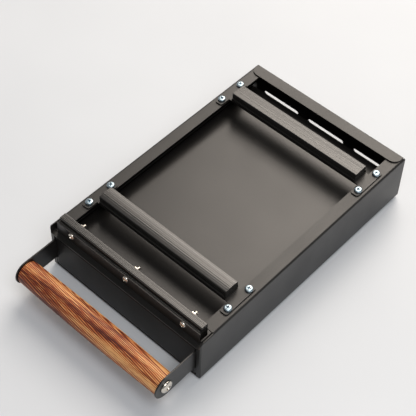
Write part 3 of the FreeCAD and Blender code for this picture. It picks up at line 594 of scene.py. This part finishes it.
# %% The nut tree
nut_tree, nut = new_tree("Hexagon nuts", {
    "Across Flats": 7.0 * MM, "Thickness": 3.2 * MM, "Hole Radius": 2.0 * MM})
FLATS_TO_RADIUS = 1 / math.sqrt(3)
CHAMFER_SHARE = 0.87                       # round face left at each end, in corner radii
nut_radius = add(nut_tree, "ShaderNodeMath", {0: nut["Across Flats"]}, {1: FLATS_TO_RADIUS},
                 operation="MULTIPLY")
nut_bar = add(nut_tree, "GeometryNodeMeshCylinder", {"Radius": nut_radius, "Depth": nut["Thickness"]},
              {"Vertices": 6, "Side Segments": 1, "Fill Segments": 1})
face_radius = add(nut_tree, "ShaderNodeMath", {0: nut_radius}, {1: CHAMFER_SHARE}, operation="MULTIPLY")
cone_size = add(nut_tree, "ShaderNodeMath", {0: nut["Thickness"], 2: face_radius}, {1: 2.0},
                operation="MULTIPLY_ADD")
cone_low = add(nut_tree, "ShaderNodeMath", {0: nut["Thickness"]}, {1: -1.0}, operation="MULTIPLY")
cone_place = add(nut_tree, "ShaderNodeCombineXYZ", {"Z": cone_low})
cone = add(nut_tree, "GeometryNodeMeshCone", {"Radius Bottom": cone_size, "Depth": cone_size},
           {"Vertices": 48, "Radius Top": 0.0})
nut_cone = add(nut_tree, "GeometryNodeSetPosition", {"Geometry": cone, "Offset": cone_place})
half_nut = add(nut_tree, "ShaderNodeMath", {0: nut["Thickness"]}, {1: 0.5}, operation="MULTIPLY")
nut_lift = add(nut_tree, "ShaderNodeCombineXYZ", {"Z": half_nut})
bar_up = add(nut_tree, "GeometryNodeSetPosition", {"Geometry": nut_bar, "Offset": nut_lift})
turned_down = add(nut_tree, "GeometryNodeMeshBoolean", {"Mesh": bar_up}, operation="INTERSECT")
nut_tree.links.new(nut_cone.outputs[0], socket(turned_down.inputs, "Mesh"))
bore_depth = add(nut_tree, "ShaderNodeMath", {0: nut["Thickness"]}, {1: 3.0}, operation="MULTIPLY")
nut_bore = add(nut_tree, "GeometryNodeMeshCylinder", {"Radius": nut["Hole Radius"], "Depth": bore_depth},
               {"Vertices": 32, "Side Segments": 1, "Fill Segments": 1})
bored = add(nut_tree, "GeometryNodeMeshBoolean", {"Mesh 1": turned_down, "Mesh 2": nut_bore},
            operation="DIFFERENCE")
nut_facing = add(nut_tree, "GeometryNodeInputNamedAttribute", values={"Name": "facing"},
                 data_type="FLOAT_VECTOR")
nut_aligned = add(nut_tree, "FunctionNodeAlignRotationToVector", {"Vector": nut_facing}, axis="Z")
nut_placed = add(nut_tree, "GeometryNodeInstanceOnPoints",
                 {"Points": nut["Geometry"], "Instance": bored, "Rotation": nut_aligned})
end_tree(nut_tree, nut, nut_placed)

low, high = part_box("front_strip_nuts")
start = points_facing([((x, low.y, strip_screw_z), (0, 1, 0)) for x in strip_xs])
strip_nuts = grow(nut_tree, start, "front_strip_nuts_chamfered",
                  {"Thickness": high.y - low.y, "Material": nickel})
keep(strip_nuts, "case", "bright_steel", "front_strip_nuts")

# %% [markdown]
# ## Rubber lengths
# A rubber length is one outline pushed through a die. The tree takes the outline as a closed curve, sets
# points a fifth of a millimetre apart along it, sinks them between fine ribs wherever the outline is above a
# given height, and sweeps it along X. The outline itself has only its corners, with arcs worked out between.


# %% The rubber tree
rubber_tree, rubber = new_tree("Ribbed rubber length", {
    "Length": 160 * MM, "Point Spacing": 0.2 * MM, "Rib Pitch": 1.6 * MM, "Rib Depth": 0.12 * MM,
    "Ribs Above": 8.0 * MM, "Rib Half Width": 7.0 * MM})
outline = add(rubber_tree, "GeometryNodeMeshToCurve", {"Mesh": rubber["Geometry"]})
fine_outline = add(rubber_tree, "GeometryNodeResampleCurve",
                   {"Curve": outline, "Length": rubber["Point Spacing"]}, mode="LENGTH")
outline_point = add(rubber_tree, "GeometryNodeInputPosition")
outline_parts = add(rubber_tree, "ShaderNodeSeparateXYZ", {0: outline_point})
high_enough = add(rubber_tree, "FunctionNodeCompare",
                  {"A": outline_parts.outputs["Y"], "B": rubber["Ribs Above"]},
                  data_type="FLOAT", operation="GREATER_THAN")
how_far_out = add(rubber_tree, "ShaderNodeMath", {0: outline_parts.outputs["X"]}, operation="ABSOLUTE")
far_enough_in = add(rubber_tree, "FunctionNodeCompare", {"A": how_far_out, "B": rubber["Rib Half Width"]},
                    data_type="FLOAT", operation="LESS_THAN")
is_ribbed = add(rubber_tree, "FunctionNodeBooleanMath", {0: high_enough, 1: far_enough_in}, operation="AND")
rib_count = add(rubber_tree, "ShaderNodeMath", {0: outline_parts.outputs["X"], 1: rubber["Rib Pitch"]},
                operation="DIVIDE")
rib_turn = add(rubber_tree, "ShaderNodeMath", {0: rib_count}, {1: 2 * math.pi}, operation="MULTIPLY")
rib_wave = add(rubber_tree, "ShaderNodeMath", {0: rib_turn}, operation="COSINE")
rib_dip = add(rubber_tree, "ShaderNodeMath", {0: rib_wave}, {1: -0.5, 2: -0.5}, operation="MULTIPLY_ADD")
rib_depth = add(rubber_tree, "ShaderNodeMath", {0: rib_dip, 1: rubber["Rib Depth"]}, operation="MULTIPLY")
rib_offset = add(rubber_tree, "ShaderNodeCombineXYZ", {"Y": rib_depth})
ribbed = add(rubber_tree, "GeometryNodeSetPosition", {"Geometry": fine_outline, "Selection": is_ribbed,
                                                      "Offset": rib_offset})
upright = add(rubber_tree, "GeometryNodeTransform", {"Geometry": ribbed}, {"Rotation": (0.0, 0.0, math.pi)})
half_length = add(rubber_tree, "ShaderNodeMath", {0: rubber["Length"]}, {1: 0.5}, operation="MULTIPLY")
far_end = add(rubber_tree, "ShaderNodeCombineXYZ", {"X": half_length})
near_end = add(rubber_tree, "ShaderNodeVectorMath", {0: far_end}, {1: (-1.0, 1.0, 1.0)}, operation="MULTIPLY")
die_line = add(rubber_tree, "GeometryNodeCurvePrimitiveLine", {"Start": near_end, "End": far_end})
pushed = add(rubber_tree, "GeometryNodeCurveToMesh", {"Curve": die_line, "Profile Curve": upright},
             {"Fill Caps": True})
end_tree(rubber_tree, rubber, pushed)
print("rubber tree nodes:", len(rubber_tree.nodes))


# %% Outlines with rounded corners
def rounded(corners, radii, steps=6):
    """Points round a closed outline whose corners are rounded by arcs of the given radii."""
    points = []
    for i, (corner, radius) in enumerate(zip(corners, radii)):
        here = Vector(corner)
        to_last = (Vector(corners[i - 1]) - here).normalized()
        to_next = (Vector(corners[(i + 1) % len(corners)]) - here).normalized()
        if radius == 0:
            points.append(here)
            continue
        half_angle = to_last.angle(to_next) / 2
        centre = here + (to_last + to_next).normalized() * (radius / math.sin(half_angle))
        first = here + to_last * (radius / math.tan(half_angle)) - centre
        last = here + to_next * (radius / math.tan(half_angle)) - centre
        first.normalize()
        last.normalize()
        points += [centre + first.slerp(last, step / steps) * radius for step in range(steps + 1)]
    return points


def closed_outline(points):
    """A start mesh that is one closed loop of edges in the XY plane."""
    mesh = bpy.data.meshes.new("outline")
    edges = [(i, (i + 1) % len(points)) for i in range(len(points))]
    mesh.from_pydata([(x, y, 0.0) for x, y in points], edges, [])
    return mesh


def rubber_length(node, name, points, material, material_slot, sizes):
    """Grow a ribbed rubber length from an outline about its own foot, and set it where the plain part is."""
    low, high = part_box(node)
    values = {"Length": high.x - low.x, "Material": material, **sizes}
    piece = grow(rubber_tree, closed_outline(points), name, values, smooth_under=50.0)
    piece.data.transform(Matrix.Translation(((low.x + high.x) / 2, (low.y + high.y) / 2, low.z)))
    keep(piece, "case", material_slot, node)


# %% [markdown]
# ## The two knock bars
# The middle bar is the one that is struck, and its top is crowned by a millimetre. The rear one is flat with
# softened edges. The crown is an arc of a circle through the shoulders.

# %% Knock bars
SHOULDER_DROP = 1.0 * MM
EDGE_EASE = 0.5 * MM
CROWN_STEPS = 40
low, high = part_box("middle_bar_rubber")
half = (high.y - low.y) / 2
tall = high.z - low.z
crown_radius = (half ** 2 + SHOULDER_DROP ** 2) / (2 * SHOULDER_DROP)
crown_angle = math.asin((half - EDGE_EASE) / crown_radius)
crown = []
for step in range(CROWN_STEPS + 1):
    angle = crown_angle * (1 - 2 * step / CROWN_STEPS)
    crown.append((crown_radius * math.sin(angle), tall - crown_radius * (1 - math.cos(angle))))
eased_at = tall - SHOULDER_DROP - EDGE_EASE
sides = [(-half, eased_at), (-half, 0.0), (half, 0.0), (half, eased_at)]
rubber_length("middle_bar_rubber", "middle_bar_ribbed", sides + crown, bar_rubber, "bar_rubber",
              {"Ribs Above": tall - SHOULDER_DROP, "Rib Half Width": half - 1.2 * MM, "Rib Pitch": 2.0 * MM,
               "Rib Depth": 0.05 * MM})

low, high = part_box("rear_bar_rubber")
half = (high.y - low.y) / 2
tall = high.z - low.z
corners = [(-half, 0.0), (half, 0.0), (half, tall), (-half, tall)]
rubber_length("rear_bar_rubber", "rear_bar_ribbed", rounded(corners, [0, 0, 0.9 * MM, 0.9 * MM]), bar_rubber,
              "bar_rubber", {"Ribs Above": tall - 0.2 * MM, "Rib Half Width": half - 1.2 * MM,
                             "Rib Pitch": 1.35 * MM, "Rib Depth": 0.09 * MM})

# %% [markdown]
# ## The front strip
# The strip bolts to the back of the upright plate. Its head stands above the plate, a little set back, over
# a groove, so a dark line runs along the top of the metal.

# %% Front strip
low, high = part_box("front_strip")
upright_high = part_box("front_crossmember")[1]
back = (high.y - low.y) / 2
body_front = -back
head_front = body_front + 1.8 * MM
tall = high.z - low.z
groove_low = upright_high.z - low.z + 0.8 * MM
groove_high = groove_low + 1.1 * MM
groove_back = head_front + 1.2 * MM
head_low = groove_high + 1.3 * MM
corners = [(body_front, 0.0), (back, 0.0), (back, tall), (head_front, tall), (head_front, head_low),
           (head_front + 0.6 * MM, groove_high), (groove_back, groove_high), (groove_back, groove_low),
           (body_front, groove_low)]
radii = [0.5 * MM, 0.5 * MM, 1.6 * MM, 1.2 * MM, 0.3 * MM, 0, 0, 0, 0.3 * MM]
rubber_length("front_strip", "front_strip_ribbed", rounded(corners, radii), strip_rubber, "strip_rubber",
              {"Ribs Above": tall - 0.3 * MM, "Rib Half Width": back - 2.2 * MM, "Rib Pitch": 1.45 * MM,
               "Rib Depth": 0.06 * MM})

# %% [markdown]
# ## The turned grip
# The grip is a barrel: its radius follows a parabola from the middle to each end, and a small round runs
# about each end. That is one rule of the distance along the grip, so a tree makes it: a line is divided, its
# points crowded towards the ends where the round is, and a circle is swept along it, scaled by the rule. Two
# bores at the ends take the threaded inserts.

# %% The grip tree
grip_tree, grip = new_tree("Turned barrel grip", {
    "Half Length": 92.4 * MM, "End Radius": 12.2 * MM, "Middle Radius": 13.5 * MM, "End Round": 1.2 * MM,
    "Bore Radius": 4.5 * MM, "Bore Depth": 18.0 * MM})
grip_far = add(grip_tree, "ShaderNodeCombineXYZ", {"X": grip["Half Length"]})
grip_near = add(grip_tree, "ShaderNodeVectorMath", {0: grip_far}, {1: (-1.0, 1.0, 1.0)}, operation="MULTIPLY")
lathe_line = add(grip_tree, "GeometryNodeCurvePrimitiveLine", {"Start": grip_near, "End": grip_far})
divided = add(grip_tree, "GeometryNodeResampleCurve", {"Curve": lathe_line}, {"Count": 121}, mode="COUNT")
lathe_point = add(grip_tree, "GeometryNodeInputPosition")
lathe_parts = add(grip_tree, "ShaderNodeSeparateXYZ", {0: lathe_point})
lathe_share = add(grip_tree, "ShaderNodeMath", {0: lathe_parts.outputs["X"], 1: grip["Half Length"]},
                  operation="DIVIDE")
lathe_turn = add(grip_tree, "ShaderNodeMath", {0: lathe_share}, {1: math.pi / 2}, operation="MULTIPLY")
lathe_sine = add(grip_tree, "ShaderNodeMath", {0: lathe_turn}, operation="SINE")
crowded_x = add(grip_tree, "ShaderNodeMath", {0: lathe_sine, 1: grip["Half Length"]}, operation="MULTIPLY")
crowded_place = add(grip_tree, "ShaderNodeCombineXYZ", {"X": crowded_x})
crowded = add(grip_tree, "GeometryNodeSetPosition", {"Geometry": divided, "Position": crowded_place})
share_squared = add(grip_tree, "ShaderNodeMath", {0: lathe_share, 1: lathe_share}, operation="MULTIPLY")
swell = add(grip_tree, "ShaderNodeMath", {0: grip["End Radius"], 1: grip["Middle Radius"]},
            operation="SUBTRACT")
barrel = add(grip_tree, "ShaderNodeMath", {0: share_squared, 1: swell, 2: grip["Middle Radius"]},
             operation="MULTIPLY_ADD")
from_middle = add(grip_tree, "ShaderNodeMath", {0: lathe_parts.outputs["X"]}, operation="ABSOLUTE")
to_end = add(grip_tree, "ShaderNodeMath", {0: grip["Half Length"], 1: from_middle}, operation="SUBTRACT")
into_round = add(grip_tree, "ShaderNodeMath", {0: grip["End Round"], 1: to_end}, operation="SUBTRACT")
round_share = add(grip_tree, "ShaderNodeMath", {0: into_round, 1: grip["End Round"]}, operation="DIVIDE",
                  use_clamp=True)
round_square = add(grip_tree, "ShaderNodeMath", {0: round_share, 1: round_share}, operation="MULTIPLY")
round_left = add(grip_tree, "ShaderNodeMath", {1: round_square}, {0: 1.0}, operation="SUBTRACT", use_clamp=True)
round_root = add(grip_tree, "ShaderNodeMath", {0: round_left}, operation="SQRT")
round_lost = add(grip_tree, "ShaderNodeMath", {1: round_root}, {0: 1.0}, operation="SUBTRACT")
round_cut = add(grip_tree, "ShaderNodeMath", {0: round_lost, 1: grip["End Round"]}, operation="MULTIPLY")
lathe_radius = add(grip_tree, "ShaderNodeMath", {0: barrel, 1: round_cut}, operation="SUBTRACT")
unit_circle = add(grip_tree, "GeometryNodeCurvePrimitiveCircle", values={"Resolution": 96, "Radius": 1.0})
turned = add(grip_tree, "GeometryNodeCurveToMesh", {"Curve": crowded, "Profile Curve": unit_circle,
                                                    "Scale": lathe_radius}, {"Fill Caps": True})
print("grip tree nodes so far:", len(grip_tree.nodes))

# %% Bores, and the finished grip
bore_length = add(grip_tree, "ShaderNodeMath", {0: grip["Bore Depth"]}, {1: 2.0}, operation="MULTIPLY")
bore_rod = add(grip_tree, "GeometryNodeMeshCylinder", {"Radius": grip["Bore Radius"], "Depth": bore_length},
               {"Vertices": 48, "Side Segments": 1, "Fill Segments": 1})
bored_grip = turned
for end_place in (grip_near, grip_far):
    bore = add(grip_tree, "GeometryNodeTransform", {"Geometry": bore_rod, "Translation": end_place},
               {"Rotation": (0.0, math.pi / 2, 0.0)})
    bored_grip = add(grip_tree, "GeometryNodeMeshBoolean", {"Mesh 1": bored_grip, "Mesh 2": bore},
                     operation="DIFFERENCE")
end_tree(grip_tree, grip, bored_grip)

one_point = bpy.data.meshes.new("start")
one_point.from_pydata([(0.0, 0.0, 0.0)], [], [])
grip_half = (grip_high.x - grip_low.x) / 2
grip_middle_radius = (grip_high.z - grip_low.z) / 2
turned_grip = grow(grip_tree, one_point, "handle_grip_turned",
                   {"Half Length": grip_half, "Middle Radius": grip_middle_radius, "Material": wood})
turned_grip.data.transform(Matrix.Translation(grip_centre))
keep(turned_grip, "drawer", "grip_wood", "handle_grip")

# %% [markdown]
# ## Parts that keep their plain shape
# The cores, press-in nuts, inserts, glides, bumpers and feet are simple on the real box too. They only take
# their materials.

# %% Finishes for the plain parts
PLAIN_PARTS = {
    "middle_bar_core": rolled_steel, "rear_bar_core": rolled_steel, "flange_clinch_nuts": zinc,
    "left_glide_strip": nylon, "right_glide_strip": nylon, "rear_bumpers": foot_rubber,
    "rubber_feet": foot_rubber, "grip_inserts": brass}
for node, material in PLAIN_PARTS.items():
    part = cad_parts[node]
    if not part.material_slots:
        part.data.materials.append(material)
    for material_slot in part.material_slots:
        material_slot.material = material
print("plain parts finished:", len(PLAIN_PARTS))

# %% [markdown]
# ## Floor
# A plain white studio table with a faint sheen, much larger than the object.

# %% Floor
white_table, tree, place = new_material("White laminate table")
mottle = add(tree, "ShaderNodeTexNoise", {"Vector": place}, {"Scale": 1 / (180 * MM), "Detail": 2.0})
table_tone = two_tone(tree, mottle.outputs["Fac"], 0.3, 0.7, "#d8dce1", "#dce0e5")
table_gloss = add(tree, "ShaderNodeMapRange", {"Value": mottle.outputs["Fac"]},
                  {"To Min": 0.55, "To Max": 0.62})
end_material(tree, {"Base Color": table_tone, "Roughness": table_gloss}, {"IOR": 1.45})
FLOOR_HALF = 3.0
floor_mesh = bpy.data.meshes.new("floor")
floor_corners = [(x * FLOOR_HALF, y * FLOOR_HALF, 0.0) for x, y in ((-1, -1), (1, -1), (1, 1), (-1, 1))]
floor_mesh.from_pydata(floor_corners, [], [(0, 1, 2, 3)])
floor_mesh.materials.append(white_table)
floor = bpy.data.objects.new("floor", floor_mesh)
scene.collection.objects.link(floor)
print("floor half width:", FLOOR_HALF, "m")

# %% [markdown]
# ## Camera
# The camera looks down on the front right corner. Its direction is an azimuth from -Y towards +X, an
# elevation above the table, and a small roll.

# %% Camera
AZIMUTH = math.radians(41.3703)
ELEVATION = math.radians(51.0435)
ROLL = math.radians(1.5512)
CAMERA_PLACE = Vector((474.05, -547.195, 952.84)) * MM
LENS = 101.27
back_axis = Vector((math.sin(AZIMUTH) * math.cos(ELEVATION), -math.cos(AZIMUTH) * math.cos(ELEVATION),
                    math.sin(ELEVATION)))
level_right = Vector((0, 0, 1)).cross(back_axis).normalized()
level_up = back_axis.cross(level_right)
right_axis = level_right * math.cos(ROLL) + level_up * math.sin(ROLL)
up_axis = level_up * math.cos(ROLL) - level_right * math.sin(ROLL)
turn = Matrix((right_axis, up_axis, back_axis)).transposed().to_4x4()
camera = bpy.data.objects.new("camera", bpy.data.cameras.new("camera"))
camera.data.sensor_width = 36.0
camera.data.lens = LENS
camera.data.clip_start = 0.05
camera.data.clip_end = 20.0
camera.matrix_world = Matrix.Translation(CAMERA_PLACE) @ turn
scene.collection.objects.link(camera)
scene.camera = camera
print("camera height:", round(camera.location.z, 3), "m")

# %% [markdown]
# ## Light
# A large soft box stands behind the object, at the angle where the camera sees it mirrored in level surfaces:
# it turns the flanges and the tray's floor grey while upright faces stay black. A smaller, lower box behind
# reaches the rear bar and the table beyond it, and a box high on the camera's side fills the table in front
# and the gap behind the grip. The sky is an even pale grey.

# %% Light
scene.view_settings.view_transform = "Standard"
world = bpy.data.worlds.new("studio")
world.use_nodes = True
sky = world.node_tree.nodes["Background"].inputs
sky["Color"].default_value = colour("#f2f4f6")
sky["Strength"].default_value = 0.25
scene.world = world
object_middle = (cad_box[0] + cad_box[1]) / 2


def soft_box(name, azimuth, elevation, distance, size, power, tone):
    """A square area light that looks at the middle of the object."""
    light = bpy.data.lights.new(name, "AREA")
    light.shape = "SQUARE"
    light.size = size
    light.energy = power
    light.color = colour(tone)[:3]
    lamp = bpy.data.objects.new(name, light)
    turned_by = math.radians(azimuth)
    raised_by = math.radians(elevation)
    out = Vector((math.sin(turned_by) * math.cos(raised_by), -math.cos(turned_by) * math.cos(raised_by),
                  math.sin(raised_by)))
    aim = out.to_track_quat("Z", "Y").to_matrix().to_4x4()
    lamp.matrix_world = Matrix.Translation(object_middle + out * distance) @ aim
    scene.collection.objects.link(lamp)


soft_box("back_box", 198, 54, 2.6, 1.7, 44.0, "#fff4e8")
soft_box("low_back_box", 200, 27, 2.4, 1.2, 19.0, "#fff4e8")
soft_box("front_fill", 62, 62, 2.3, 1.3, 23.0, "#fbfaf9")
